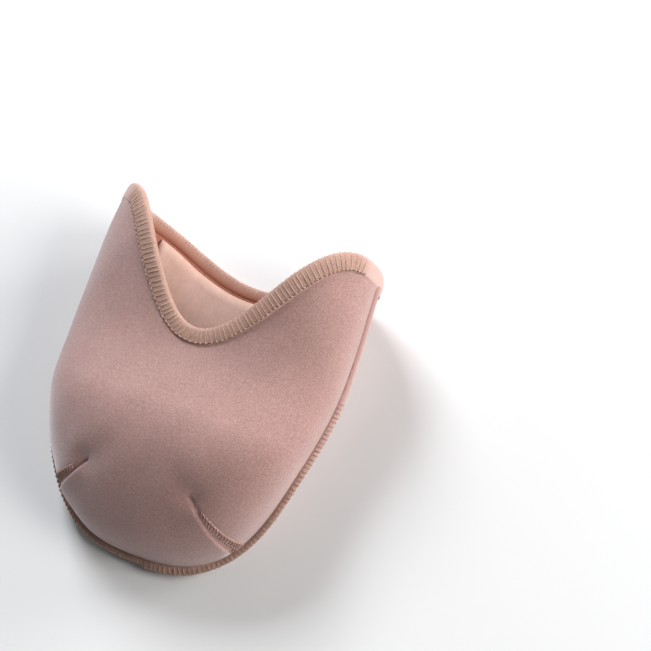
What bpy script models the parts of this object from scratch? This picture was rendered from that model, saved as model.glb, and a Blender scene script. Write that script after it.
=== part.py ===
"""A fabric-covered gel toe pad, lying on its sole panel with the toe towards -Y and the mouth towards +Y."""

import bmesh
import bpy
import numpy as np

# Driving dimensions, in metres. Lengths along the pad are measured from the toe's stitch line.
HALF_WIDTH = 0.0430         # middle line to the stitch line, at the widest
MOUTH_HALF_WIDTH = 0.0418   # the same at the mouth corners
TOE_LENGTH = 0.0730         # over which the toe end rounds in to the full width
CORNER_AT = 0.0998          # toe stitch line to the mouth corners
OUTLINE_POWER = 2.6        # squareness of the toe's outline
WALL = 0.0017               # each panel: gel between two layers of knit
CLEARANCE = 0.0003          # between pieces that touch

# Height of the stitch line above the floor, and of the front panel above the stitch line
SEAM_AT_TOE = 0.0034
SEAM_AT_SIDE = 0.0158
SEAM_AT_MOUTH = 0.0256
CROWN_AT_TOE = 0.0300
CROWN_AT_MIDDLE = 0.0181
CROWN_AT_MOUTH = 0.0213
CROWN_POWER_TOE = 2.5       # squareness of the front panel's cross-section
CROWN_POWER_MIDDLE = 3.1
CROWN_POWER_MOUTH = 2.03
FLAT_SHARE = 0.5            # share of the sole panel, out from its middle, that lies flat
SOLE_POWER = 2.0

# Mouth: how far each rim dips below the corners, and the band that wraps it
FRONT_DIP = 0.0369
BACK_DIP = 0.0093
LOBE_AT = 0.95              # share of the half width where each rim levels out
EDGING_FRONT_WIDTH = 0.0047    # band at the bottom of the front rim's dip
EDGING_LOBE_WIDTH = 0.0056     # on the front lobes
EDGING_CORNER_WIDTH = 0.0052   # where the rims meet
EDGING_BACK_WIDTH = 0.0042     # along the sole panel's rim
EDGING_PROUD = 0.0005

# Facets along each rim, shared by the panel and its band, and up each side
FRONT_COLUMNS = 35
BACK_COLUMNS = 29
ROWS = 23

# Side seam: the overlocked flange outside the stitch line, narrower and lower towards the mouth
FLANGE_WIDTH = 0.0013
FLANGE_WIDTH_AT_MOUTH = 0.0008
FLANGE_THICKNESS = 0.0020
FLANGE_THICKNESS_AT_MOUTH = 0.0015
FLANGE_DROP = 0.0006        # its middle below the stitch line
FLANGE_DROP_AT_MOUTH = 0.0010
FLANGE_CHAMFER = 0.0004

# Gel sheet on the inside of the sole panel
GEL_SHARE = 0.84            # of the outline
GEL_THICKNESS = 0.0018
GEL_BELOW_RIM = 0.0054

# Darts: foot on the stitch line and tip on the front panel, from the middle line and from the toe
DART_FOOT = (0.0284, 0.0152)
DART_TIP = (0.0176, 0.0167)
DART_WIDTH_FOOT = 0.0054
DART_WIDTH_TIP = 0.0014
DART_THICKNESS = 0.0009
DART_LIFT_OFF = 0.0024      # the dart's end above the stitch line, clear of the flange

ORIGIN_AT = (CORNER_AT - CLEARANCE - FLANGE_WIDTH) / 2


def smooth(x):
    x = np.clip(x, 0, 1)
    return x * x * (3 - 2 * x)


def half_width(t):
    up = np.clip((t - TOE_LENGTH) / (CORNER_AT - TOE_LENGTH), 0, 1.3)
    return HALF_WIDTH + (MOUTH_HALF_WIDTH - HALF_WIDTH) * up**1.8


def seam_height(t):
    low = (SEAM_AT_SIDE - SEAM_AT_TOE) * smooth(t / 0.040)
    high = (SEAM_AT_MOUTH - SEAM_AT_SIDE) * smooth((t - 0.055) / 0.045)
    return SEAM_AT_TOE + low + high


def crown(t):
    low = (CROWN_AT_MIDDLE - CROWN_AT_TOE) * smooth(t / 0.055)
    high = (CROWN_AT_MOUTH - CROWN_AT_MIDDLE) * smooth((t - 0.050) / 0.045)
    return CROWN_AT_TOE + low + high


def crown_power(t):
    low = (CROWN_POWER_MIDDLE - CROWN_POWER_TOE) * smooth(t / 0.050)
    high = (CROWN_POWER_MOUTH - CROWN_POWER_MIDDLE) * smooth((t - 0.055) / 0.045)
    return CROWN_POWER_TOE + low + high


def gauge(xi, eta):
    """1 on the stitch line, 0 on the middle line; eta is 1 at the toe and below 0 past the rounding."""
    return (np.abs(xi) ** OUTLINE_POWER + np.clip(eta, 0, None) ** OUTLINE_POWER) ** (1 / OUTLINE_POWER)


def implicit(face, points):
    """Zero on a panel's outer surface and rising outwards."""
    x, t, z = points[..., 0], points[..., 1], points[..., 2]
    r = gauge(x / half_width(t), (TOE_LENGTH - t) / TOE_LENGTH)
    base = seam_height(t)
    if face == "front":
        p = crown_power(t)
        return r**p + np.abs((z - base) / crown(t)) ** p - 1
    u = np.clip((r - FLAT_SHARE) / (1 - FLAT_SHARE), 0, None)
    return u**SOLE_POWER + np.abs(1 - z / base) ** SOLE_POWER - 1


def place(face, q):
    """Outer surface points for chart points q, in which the steep sides take an even share."""
    s = np.clip(gauge(q[..., 0], q[..., 1]), 1e-9, 1)
    r = np.sin(s * np.pi / 2)
    eta = np.where(q[..., 1] > 0, q[..., 1] * r / s, q[..., 1])
    xi = q[..., 0] * r / s
    t = TOE_LENGTH * (1 - eta)
    x = xi * half_width(t)
    base = seam_height(t)
    if face == "front":
        p = crown_power(t)
        z = base + crown(t) * np.clip(1 - r**p, 0, 1) ** (1 / p)
    else:
        u = np.clip((r - FLAT_SHARE) / (1 - FLAT_SHARE), 0, 1)
        z = base * (1 - (1 - u**SOLE_POWER) ** (1 / SOLE_POWER))
    return np.stack([x, t, z], -1)


def chart(xi, eta):
    """Chart point of a plan position given as shares of the half width and of the toe length."""
    r = np.clip(gauge(xi, eta), 1e-9, 1)
    s = np.arcsin(r) * 2 / np.pi
    return np.stack([xi * s / r, np.where(eta > 0, eta * s / r, eta)], -1)


def normals(face, points):
    step = 2e-6
    columns = []
    for axis in range(3):
        move = np.zeros(3)
        move[axis] = step
        columns.append(implicit(face, points + move) - implicit(face, points - move))
    n = np.stack(columns, -1)
    return n / np.linalg.norm(n, axis=-1, keepdims=True)


def slide(face, q, direction, distance, steps=4):
    """Chart points reached from q by going a distance along the surface."""
    q = q.copy()
    h = 1e-4
    for _ in range(steps):
        here = place(face, q)
        inward = -np.sign(q[..., 0] + 1e-12)
        jx = (place(face, q + np.stack([inward * h, 0 * inward], -1)) - here) / (inward * h)[..., None]
        jy = (place(face, q + np.array([0, -h])) - here) / -h
        a = (jx * jx).sum(-1)
        b = (jx * jy).sum(-1)
        c = (jy * jy).sum(-1)
        u = (jx * direction).sum(-1)
        v = (jy * direction).sum(-1)
        det = a * c - b * b
        dq = np.stack([(c * u - b * v) / det, (a * v - b * u) / det], -1) * (distance / steps)
        q = q + dq
        over = np.maximum(gauge(q[..., 0], q[..., 1]), 1)
        q[..., 0] = q[..., 0] / over
    return q


def rim_level(across, dip):
    inner = (1 - np.cos(np.pi * np.clip(np.abs(across) / LOBE_AT, 0, 1))) / 2
    return CORNER_AT - dip * (1 - inner)


def rim_chart(across, dip):
    t = rim_level(across, dip)
    return chart(across, (TOE_LENGTH - t) / TOE_LENGTH)


def even_rim(face, dip, count):
    """Chart points from the left mouth corner to the right one, evenly spaced along the rim."""
    fine = np.sin(np.linspace(-1, 1, 801) * np.pi / 2)
    p = place(face, rim_chart(fine, dip))
    run = np.concatenate([[0], np.cumsum(np.linalg.norm(np.diff(p, axis=0), axis=1))])
    across = np.interp(np.linspace(0, run[-1], count), run, fine)
    return rim_chart(across, dip)


def rim_ways(face, q):
    """For each rim point, the direction in the surface that leaves the panel at the mouth."""
    p = place(face, q)
    n = normals(face, p)
    along = np.gradient(p, axis=0)
    along[0] = along[-1] = 0
    along[0, 2] = 1 if face == "front" else -1
    along[-1, 2] = -along[0, 2]
    way = np.cross(n, along)
    way *= np.sign(way[:, 1])[:, None]
    return way / np.linalg.norm(way, axis=1, keepdims=True)


def edging_width(face, count):
    """Width of the band at each of a rim's even stations, from one corner to the other."""
    out = np.abs(np.linspace(-1, 1, count))[:, None]
    if face == "front":
        width = EDGING_FRONT_WIDTH + (EDGING_LOBE_WIDTH - EDGING_FRONT_WIDTH) * smooth((out - 0.15) / 0.45)
        return width + (EDGING_CORNER_WIDTH - EDGING_LOBE_WIDTH) * smooth((out - 0.8) / 0.2)
    return EDGING_BACK_WIDTH + (EDGING_CORNER_WIDTH - EDGING_BACK_WIDTH) * smooth((out - 0.55) / 0.45)


def coons(low, high, left, right):
    """Grid of chart points between four boundary runs; low and high go left to right."""
    v = np.linspace(0, 1, len(left))[:, None, None]
    s = np.linspace(0, 1, len(low))[None, :, None]
    rows = (1 - v) * low[None] + v * high[None] + (1 - s) * left[:, None] + s * right[:, None]
    corners = (1 - v) * ((1 - s) * low[0] + s * low[-1]) + v * ((1 - s) * high[0] + s * high[-1])
    return rows - corners


def side_run(foot_angle, top_eta, share, count):
    """Chart points up the right side of the outline, from the dart foot's bearing to the top."""
    turn = np.linspace(foot_angle, np.pi / 2, 400)
    xi = np.sin(turn) ** (2 / OUTLINE_POWER)
    eta = np.cos(turn) ** (2 / OUTLINE_POWER)
    rest = np.linspace(0, top_eta, 200)[1:]
    xi = np.concatenate([xi, np.ones(199)])
    eta = np.concatenate([eta, rest])
    run = np.concatenate([[0], np.cumsum(np.hypot(np.diff(xi * HALF_WIDTH), np.diff(eta * TOE_LENGTH)))])
    at = np.linspace(0, run[-1], count)
    return scaled(np.interp(at, run, xi), np.interp(at, run, eta), share)


def scaled(xi, eta, share):
    """An outline drawn in to a share of its size; the straight sides only move sideways."""
    return chart(xi * share, np.where(eta > 0, eta * share, eta))


def toe_run(foot_angle, share, count):
    turn = np.linspace(-foot_angle, foot_angle, count)
    xi = np.sign(turn) * np.abs(np.sin(turn)) ** (2 / OUTLINE_POWER)
    eta = np.cos(turn) ** (2 / OUTLINE_POWER)
    return scaled(xi, eta, share)


def mirrored(q):
    return q * np.array([-1, 1])


def panel_chart(top, foot_angle, share, rows):
    """Chart grid of a panel or sheet from its top run, with corners at the foot's bearing."""
    right = side_run(foot_angle, top[-1, 1], share, rows)
    right[-1] = top[-1]
    low = toe_run(foot_angle, share, len(top))
    low[-1] = right[0]
    low[0] = mirrored(right[0])
    return coons(low, top, mirrored(right), right)


def shell_object(name, outer, inner):
    """Closed solid between two grids of points of one shape."""
    rows, columns = outer.shape[:2]
    bm = bmesh.new()
    bmesh.ops.create_grid(bm, x_segments=columns - 1, y_segments=rows - 1, size=1)
    sheet = bm.verts[:]
    order = {(round(v.co.x, 5), round(v.co.y, 5)): i for i, v in enumerate(sheet)}
    made = bmesh.ops.extrude_face_region(bm, geom=bm.faces[:], use_keep_orig=True)
    for v in made["geom"]:
        if isinstance(v, bmesh.types.BMVert):
            v.co = inner.reshape(-1, 3)[order[(round(v.co.x, 5), round(v.co.y, 5))]]
    for v, point in zip(sheet, outer.reshape(-1, 3)):
        v.co = point
    return finish_object(name, bm)


def tube_object(name, rings):
    """Closed solid through rings of section points, capped at both ends."""
    count, sides = rings.shape[:2]
    bm = bmesh.new()
    bmesh.ops.create_grid(bm, x_segments=sides, y_segments=count - 1, size=1)
    bm.verts.ensure_lookup_table()
    for i, v in enumerate(bm.verts[:]):
        row, column = divmod(i, sides + 1)
        v.co = rings[row, column % sides]
    bmesh.ops.remove_doubles(bm, verts=bm.verts[:], dist=1e-6)
    bmesh.ops.holes_fill(bm, edges=[e for e in bm.edges if e.is_boundary], sides=0)
    return finish_object(name, bm)


def finish_object(name, bm):
    for v in bm.verts:
        v.co.y -= ORIGIN_AT
    bmesh.ops.recalc_face_normals(bm, faces=bm.faces[:])
    if bm.calc_volume(signed=True) < 0:
        bmesh.ops.reverse_faces(bm, faces=bm.faces[:])
    mesh = bpy.data.meshes.new(name)
    bm.to_mesh(mesh)
    bm.free()
    mesh.shade_smooth()
    mesh.set_sharp_from_angle(angle=np.radians(40))
    obj = bpy.data.objects.new(name, mesh)
    bpy.context.collection.objects.link(obj)
    mesh.materials.append(material(name, *COLOURS[name]))
    return obj


def material(name, colour, roughness):
    made = bpy.data.materials.new(name)
    made.use_nodes = True
    shader = made.node_tree.nodes["Principled BSDF"]
    shader.inputs["Base Color"].default_value = (*colour, 1)
    shader.inputs["Roughness"].default_value = roughness
    shader.inputs["Metallic"].default_value = 0
    return made


COLOURS = {
    "front_panel": ((0.56, 0.36, 0.33), 0.85),
    "back_panel": ((0.56, 0.36, 0.33), 0.85),
    "gel_sheet": ((0.62, 0.40, 0.30), 0.45),
    "mouth_edging": ((0.60, 0.37, 0.30), 0.80),
    "side_seam": ((0.55, 0.34, 0.29), 0.80),
    "dart_seam_right": ((0.58, 0.37, 0.32), 0.80),
    "dart_seam_left": ((0.58, 0.37, 0.32), 0.80),
}


def panel(name, face, dip, columns, rows):
    """A panel from the stitch line to just short of the mouth's band."""
    rim = even_rim(face, dip, columns)
    top = slide(face, rim, -rim_ways(face, rim), edging_width(face, columns) + CLEARANCE)
    top[0] = (-1, top[0, 1])
    top[-1] = (1, top[-1, 1])
    q = panel_chart(top, FOOT_ANGLE, 1, rows)
    outer = place(face, q)
    inner = outer - normals(face, outer) * WALL
    if face == "back":
        # the low wall at the toe is thinner, so that it stays under the front panel's edge
        inner[..., 2] = np.minimum(inner[..., 2], seam_height(outer[..., 1]))
        shift = -CLEARANCE / 2 * smooth((outer[..., 2] - 0.0005) / 0.002)
    else:
        shift = CLEARANCE / 2
    outer[..., 2] += shift
    inner[..., 2] += shift
    return shell_object(name, outer, inner)


def foot_angle():
    xi = DART_FOOT[0] / HALF_WIDTH
    eta = (TOE_LENGTH - DART_FOOT[1]) / TOE_LENGTH
    half = OUTLINE_POWER / 2
    return np.arctan2(xi**half, eta**half)


FOOT_ANGLE = foot_angle()


def gel_sheet():
    """Sheet with rounded top corners, laid on the inside of the sole panel."""
    columns, rows = 19, 15
    rim = even_rim("back", BACK_DIP, 401)
    top = slide("back", rim, -rim_ways("back", rim), GEL_BELOW_RIM)
    edge = place("back", top)
    inside = np.abs(edge[:, 0]) <= GEL_SHARE * half_width(edge[:, 1])
    kept = top[inside]
    at = np.linspace(0, len(kept) - 1, columns)
    top = np.stack([np.interp(at, np.arange(len(kept)), kept[:, k]) for k in (0, 1)], -1)
    top[-1, 0] = chart(np.array(GEL_SHARE), np.array(-0.1))[0]
    top[0, 0] = -top[-1, 0]
    q = panel_chart(top, FOOT_ANGLE, GEL_SHARE, rows)
    on = place("back", q)
    n = normals("back", on)
    low = on - n * (WALL + CLEARANCE)
    high = on - n * (WALL + CLEARANCE + GEL_THICKNESS)
    return shell_object("gel_sheet", low, high)


EDGING_SECTION = (
    # (share of the width below the rim, height over the panel's outer face)
    (1.00, 0.00035),
    (0.50, EDGING_PROUD),
    (0.14, 0.00040),
    (0.00, -0.00030),
    (0.00, -0.00140),
    (0.14, -WALL - 0.00040),
    (0.50, -WALL - EDGING_PROUD),
    (1.00, -WALL - 0.00035),
)


def mouth_edging():
    """One closed band: along the front rim to the right corner, then back along the sole panel's rim."""
    rings = []
    for face, dip, count in (("front", FRONT_DIP, FRONT_COLUMNS), ("back", BACK_DIP, BACK_COLUMNS)):
        rim = even_rim(face, dip, count)
        ways = rim_ways(face, rim)
        width = edging_width(face, count)
        sections = []
        for below, height in EDGING_SECTION:
            q = slide(face, rim, -ways, width * below) if below else rim
            p = place(face, q)
            # where the sole panel lies flat, so does the band
            rise = smooth(p[:, 2:] / 0.004) if height > 0 else 1
            sections.append(p + normals(face, p) * height * rise)
        run = np.stack(sections, 1)
        rings.append(run[:-1] if face == "front" else run[::-1][:-1])
    rings = np.concatenate(rings)
    count, sides = rings.shape[:2]
    bm = bmesh.new()
    bmesh.ops.create_grid(bm, x_segments=sides, y_segments=count, size=1)
    bm.verts.ensure_lookup_table()
    for i, v in enumerate(bm.verts[:]):
        row, column = divmod(i, sides + 1)
        v.co = rings[row % count, column % sides]
    bmesh.ops.remove_doubles(bm, verts=bm.verts[:], dist=1e-6)
    return finish_object("mouth_edging", bm)


def side_seam():
    """Flange from one mouth corner round the toe to the other, level across its width."""
    top_eta = (TOE_LENGTH - (CORNER_AT - EDGING_CORNER_WIDTH - 2 * CLEARANCE)) / TOE_LENGTH
    right = side_run(0.0, top_eta, 1, 33)
    run = np.concatenate([mirrored(right[::-1]), right[1:]])
    p = place("front", run)
    n = normals("front", p)
    n[:, 2] = 0
    n /= np.linalg.norm(n, axis=1, keepdims=True)
    up_side = smooth((p[:, 1:2] - 0.045) / 0.045)
    width = FLANGE_WIDTH + (FLANGE_WIDTH_AT_MOUTH - FLANGE_WIDTH) * up_side
    half = (FLANGE_THICKNESS + (FLANGE_THICKNESS_AT_MOUTH - FLANGE_THICKNESS) * up_side) / 2
    drop = FLANGE_DROP + (FLANGE_DROP_AT_MOUTH - FLANGE_DROP) * up_side
    cut = FLANGE_CHAMFER
    inner_at = CLEARANCE + 0 * width
    outer_at = CLEARANCE + width
    section = (
        (inner_at, -half + cut), (inner_at + cut, -half), (outer_at - cut, -half), (outer_at, -half + cut),
        (outer_at, half - cut), (outer_at - cut, half), (inner_at + cut, half), (inner_at, half - cut),
    )
    rings = np.stack([p + n * out + (up - drop) * np.array([0, 0, 1]) for out, up in section], 1)
    return tube_object("side_seam", rings)


def dart_seam(name, side):
    """Tapered band of stitching up the front panel, wide at the stitch line and pointed at its tip."""
    foot = np.array([np.sin(FOOT_ANGLE), np.cos(FOOT_ANGLE)]) ** (2 / OUTLINE_POWER)
    tip = chart(
        np.array(DART_TIP[0] / HALF_WIDTH),
        np.array((TOE_LENGTH - DART_TIP[1]) / TOE_LENGTH),
    )
    fine = np.linspace(0, 1, 400)[:, None]
    line = foot * (1 - fine) + tip * fine
    p = place("front", line)
    clear = p[:, 2] - seam_height(p[:, 1]) > DART_LIFT_OFF
    line = line[clear]
    p = p[clear]
    run = np.concatenate([[0], np.cumsum(np.linalg.norm(np.diff(p, axis=0), axis=1))])
    at = np.linspace(0, run[-1], 12)
    q = np.stack([np.interp(at, run, line[:, k]) for k in (0, 1)], -1)
    p = place("front", q)
    across = np.cross(normals("front", p), np.gradient(p, axis=0))
    across /= np.linalg.norm(across, axis=1, keepdims=True)
    share = (at / run[-1])[:, None]
    half = (DART_WIDTH_FOOT * (1 - share) + DART_WIDTH_TIP * share) / 2
    low = []
    high = []
    for place_across, height in ((-1, 0.55), (-0.5, 0.95), (0, 1), (0.5, 0.95), (1, 0.55)):
        spot = place("front", slide("front", q, across, half * place_across, 2))
        n = normals("front", spot)
        low.append(spot + n * CLEARANCE)
        high.append(spot + n * (CLEARANCE + DART_THICKNESS * height))
    low = np.stack(low, 1) * np.array([side, 1, 1])
    high = np.stack(high, 1) * np.array([side, 1, 1])
    low[..., 2] += CLEARANCE / 2
    high[..., 2] += CLEARANCE / 2
    return shell_object(name, high, low)


def main():
    for obj in list(bpy.data.objects):
        bpy.data.objects.remove(obj, do_unlink=True)
    panel("front_panel", "front", FRONT_DIP, FRONT_COLUMNS, ROWS)
    panel("back_panel", "back", BACK_DIP, BACK_COLUMNS, ROWS)
    gel_sheet()
    mouth_edging()
    side_seam()
    dart_seam("dart_seam_right", 1)
    dart_seam("dart_seam_left", -1)


main()
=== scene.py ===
import math

import bmesh
import bpy
import numpy as np
from mathutils import Matrix, Vector


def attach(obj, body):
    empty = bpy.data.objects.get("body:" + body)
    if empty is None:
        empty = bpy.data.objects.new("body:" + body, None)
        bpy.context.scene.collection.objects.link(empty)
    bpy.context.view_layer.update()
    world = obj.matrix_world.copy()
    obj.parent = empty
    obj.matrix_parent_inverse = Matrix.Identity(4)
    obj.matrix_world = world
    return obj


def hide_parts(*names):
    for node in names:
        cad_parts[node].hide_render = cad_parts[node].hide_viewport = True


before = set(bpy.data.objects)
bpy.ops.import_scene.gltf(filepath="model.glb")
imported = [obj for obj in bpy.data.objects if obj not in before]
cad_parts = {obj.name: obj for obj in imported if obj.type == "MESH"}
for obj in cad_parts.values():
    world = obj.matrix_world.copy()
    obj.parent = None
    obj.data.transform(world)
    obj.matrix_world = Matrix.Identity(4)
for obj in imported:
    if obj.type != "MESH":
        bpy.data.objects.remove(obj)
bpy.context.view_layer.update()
print("frame loaded")

# The pouch, in metres. Lengths along it run from the toe's stitch line.
pouch = {
    "halfWidth": 0.0430,
    "mouthHalfWidth": 0.0418,
    "toeLength": 0.0730,
    "cornerAt": 0.0998,
    "outlinePower": 2.6,
    "wall": 0.0017,
    "clearance": 0.0003,
    "seamToe": 0.0034,
    "seamSide": 0.0158,
    "seamMouth": 0.0256,
    "crownToe": 0.0300,
    "crownMiddle": 0.0181,
    "crownMouth": 0.0213,
    "powerToe": 2.5,
    "powerMiddle": 3.1,
    "powerMouth": 2.03,
    "flatShare": 0.5,
    "solePower": 2.0,
    "frontDip": 0.0369,
    "backDip": 0.0093,
    "lobeAt": 0.95,
    "flangeWidth": 0.0013,
    "dartFoot": (0.0284, 0.0152),
    "dartTip": (0.0176, 0.0167),
}
originAt = (pouch["cornerAt"] - pouch["clearance"] - pouch["flangeWidth"]) / 2


# ---- the pouch's surface ----
def ease(x):
    x = np.clip(x, 0, 1)
    return x * x * (3 - 2 * x)


def halfWidth(t):
    up = np.clip((t - pouch["toeLength"]) / (pouch["cornerAt"] - pouch["toeLength"]), 0, 1.3)
    return pouch["halfWidth"] + (pouch["mouthHalfWidth"] - pouch["halfWidth"]) * up**1.8


def seamHeight(t):
    low = (pouch["seamSide"] - pouch["seamToe"]) * ease(t / 0.040)
    return pouch["seamToe"] + low + (pouch["seamMouth"] - pouch["seamSide"]) * ease((t - 0.055) / 0.045)


def crownHeight(t):
    low = (pouch["crownMiddle"] - pouch["crownToe"]) * ease(t / 0.055)
    return pouch["crownToe"] + low + (pouch["crownMouth"] - pouch["crownMiddle"]) * ease((t - 0.050) / 0.045)


def crownPower(t):
    low = (pouch["powerMiddle"] - pouch["powerToe"]) * ease(t / 0.050)
    return pouch["powerToe"] + low + (pouch["powerMouth"] - pouch["powerMiddle"]) * ease((t - 0.055) / 0.045)


def gauge(xi, eta):
    n = pouch["outlinePower"]
    return (np.abs(xi) ** n + np.clip(eta, 0, None) ** n) ** (1 / n)


def implicit(face, points):
    x, t, z = points[..., 0], points[..., 1], points[..., 2]
    r = gauge(x / halfWidth(t), (pouch["toeLength"] - t) / pouch["toeLength"])
    base = seamHeight(t)
    if face == "front":
        p = crownPower(t)
        return r**p + np.abs((z - base) / crownHeight(t)) ** p - 1
    u = np.clip((r - pouch["flatShare"]) / (1 - pouch["flatShare"]), 0, None)
    return u ** pouch["solePower"] + np.abs(1 - z / base) ** pouch["solePower"] - 1


def place(face, q):
    s = np.clip(gauge(q[..., 0], q[..., 1]), 1e-9, 1)
    r = np.sin(s * np.pi / 2)
    eta = np.where(q[..., 1] > 0, q[..., 1] * r / s, q[..., 1])
    t = pouch["toeLength"] * (1 - eta)
    x = q[..., 0] * r / s * halfWidth(t)
    base = seamHeight(t)
    if face == "front":
        p = crownPower(t)
        z = base + crownHeight(t) * np.clip(1 - r**p, 0, 1) ** (1 / p)
    else:
        u = np.clip((r - pouch["flatShare"]) / (1 - pouch["flatShare"]), 0, 1)
        z = base * (1 - (1 - u ** pouch["solePower"]) ** (1 / pouch["solePower"]))
    return np.stack([x, t, z], -1)


def chart(xi, eta):
    r = np.clip(gauge(xi, eta), 1e-9, 1)
    s = np.arcsin(r) * 2 / np.pi
    return np.stack([xi * s / r, np.where(eta > 0, eta * s / r, eta)], -1)


def normalsAt(face, points):
    step = 2e-6
    columns = []
    for axis in range(3):
        move = np.zeros(3)
        move[axis] = step
        columns.append(implicit(face, points + move) - implicit(face, points - move))
    n = np.stack(columns, -1)
    return n / np.linalg.norm(n, axis=-1, keepdims=True)


def slide(face, q, direction, distance, steps=4):
    q = q.copy()
    h = 1e-4
    for _ in range(steps):
        here = place(face, q)
        inward = -np.sign(q[..., 0] + 1e-12)
        jx = (place(face, q + np.stack([inward * h, 0 * inward], -1)) - here) / (inward * h)[..., None]
        jy = (place(face, q + np.array([0, -h])) - here) / -h
        a, b, c = (jx * jx).sum(-1), (jx * jy).sum(-1), (jy * jy).sum(-1)
        u, v = (jx * direction).sum(-1), (jy * direction).sum(-1)
        det = a * c - b * b
        q = q + np.stack([(c * u - b * v) / det, (a * v - b * u) / det], -1) * (distance / steps)
        q[..., 0] = q[..., 0] / np.maximum(gauge(q[..., 0], q[..., 1]), 1)
    return q


def rimChart(across, dip):
    inner = (1 - np.cos(np.pi * np.clip(np.abs(across) / pouch["lobeAt"], 0, 1))) / 2
    t = pouch["cornerAt"] - dip * (1 - inner)
    return chart(across, (pouch["toeLength"] - t) / pouch["toeLength"])


def runLength(points):
    return np.concatenate([[0], np.cumsum(np.linalg.norm(np.diff(points, axis=0), axis=1))])


def evenRim(face, dip, count):
    fine = np.sin(np.linspace(-1, 1, 1601) * np.pi / 2)
    run = runLength(place(face, rimChart(fine, dip)))
    return rimChart(np.interp(np.linspace(0, run[-1], count), run, fine), dip)


def rimWays(face, q):
    p = place(face, q)
    n = normalsAt(face, p)
    along = np.gradient(p, axis=0)
    along[0] = along[-1] = 0
    along[0, 2] = 1 if face == "front" else -1
    along[-1, 2] = -along[0, 2]
    way = np.cross(n, along)
    way *= np.sign(way[:, 1])[:, None]
    return way / np.linalg.norm(way, axis=1, keepdims=True)


bandWidth = {"dip": 0.0047, "lobe": 0.0056, "corner": 0.0052, "back": 0.0042}


def edgingWidth(face, count):
    # the overlocked band is wider on the lobes than in the dip and along the back
    out = np.abs(np.linspace(-1, 1, count))[:, None]
    if face == "front":
        width = bandWidth["dip"] + (bandWidth["lobe"] - bandWidth["dip"]) * ease((out - 0.15) / 0.45)
        return width + (bandWidth["corner"] - bandWidth["lobe"]) * ease((out - 0.8) / 0.2)
    return bandWidth["back"] + (bandWidth["corner"] - bandWidth["back"]) * ease((out - 0.55) / 0.45)


def coons(low, high, left, right):
    v = np.linspace(0, 1, len(left))[:, None, None]
    s = np.linspace(0, 1, len(low))[None, :, None]
    rows = (1 - v) * low[None] + v * high[None] + (1 - s) * left[:, None] + s * right[:, None]
    return rows - (1 - v) * ((1 - s) * low[0] + s * low[-1]) - v * ((1 - s) * high[0] + s * high[-1])


def scaledOutline(xi, eta, share):
    return chart(xi * share, np.where(eta > 0, eta * share, eta))


def sideRun(angle, topEta, share, count):
    n = pouch["outlinePower"]
    turn = np.linspace(angle, np.pi / 2, 600)
    xi = np.concatenate([np.sin(turn) ** (2 / n), np.ones(299)])
    eta = np.concatenate([np.cos(turn) ** (2 / n), np.linspace(0, topEta, 300)[1:]])
    run = runLength(np.stack([xi * pouch["halfWidth"], eta * pouch["toeLength"]], -1))
    at = np.linspace(0, run[-1], count)
    return scaledOutline(np.interp(at, run, xi), np.interp(at, run, eta), share)


def toeRun(angle, share, count):
    n = pouch["outlinePower"]
    turn = np.linspace(-angle, angle, count)
    return scaledOutline(np.sign(turn) * np.abs(np.sin(turn)) ** (2 / n), np.cos(turn) ** (2 / n), share)


mirrorX = np.array([-1, 1])
footXi = pouch["dartFoot"][0] / pouch["halfWidth"]
footEta = (pouch["toeLength"] - pouch["dartFoot"][1]) / pouch["toeLength"]
footAngle = math.atan2(footXi ** (pouch["outlinePower"] / 2), footEta ** (pouch["outlinePower"] / 2))


def panelChart(top, share, rows):
    right = sideRun(footAngle, top[-1, 1], share, rows)
    right[-1] = top[-1]
    low = toeRun(footAngle, share, len(top))
    low[-1] = right[0]
    low[0] = right[0] * mirrorX
    return coons(low, top, right * mirrorX, right)


def toRow(points):
    return points - np.array([0, originAt, 0])


# ---- materials ----
def newMaterial(name, colour, roughness, sheen=0.0, sheenTint=(1, 1, 1)):
    made = bpy.data.materials.new(name)
    made.use_nodes = True
    shader = made.node_tree.nodes["Principled BSDF"]
    shader.inputs["Base Color"].default_value = (*colour, 1)
    shader.inputs["Roughness"].default_value = roughness
    shader.inputs["Sheen Weight"].default_value = sheen
    shader.inputs["Sheen Roughness"].default_value = 0.5
    shader.inputs["Sheen Tint"].default_value = (*sheenTint, 1)
    return made, made.node_tree, shader


def addNode(tree, kind, **values):
    node = tree.nodes.new(kind)
    for key, value in values.items():
        if key in node.inputs:
            node.inputs[key].default_value = value
        else:
            setattr(node, key, value)
    return node


def mathNode(tree, operation, first, second=None, third=None):
    node = tree.nodes.new("ShaderNodeMath")
    node.operation = operation
    for socket, value in zip(node.inputs, (first, second, third)):
        if value is None:
            continue
        if isinstance(value, (int, float)):
            socket.default_value = value
        else:
            tree.links.new(value, socket)
    return node.outputs[0]


def noiseNode(tree, coords, scale, detail=3.0, roughness=0.6):
    node = tree.nodes.new("ShaderNodeTexNoise")
    node.inputs["Scale"].default_value = scale
    node.inputs["Detail"].default_value = detail
    node.inputs["Roughness"].default_value = roughness
    tree.links.new(coords, node.inputs["Vector"])
    return node.outputs["Fac"]


def rampNode(tree, fac, stops):
    node = tree.nodes.new("ShaderNodeValToRGB")
    ramp = node.color_ramp
    while len(ramp.elements) < len(stops):
        ramp.elements.new(0.5)
    for element, (position, colour) in zip(ramp.elements, stops):
        element.position = position
        element.color = (*colour, 1)
    tree.links.new(fac, node.inputs["Fac"])
    return node.outputs["Color"]


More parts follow.
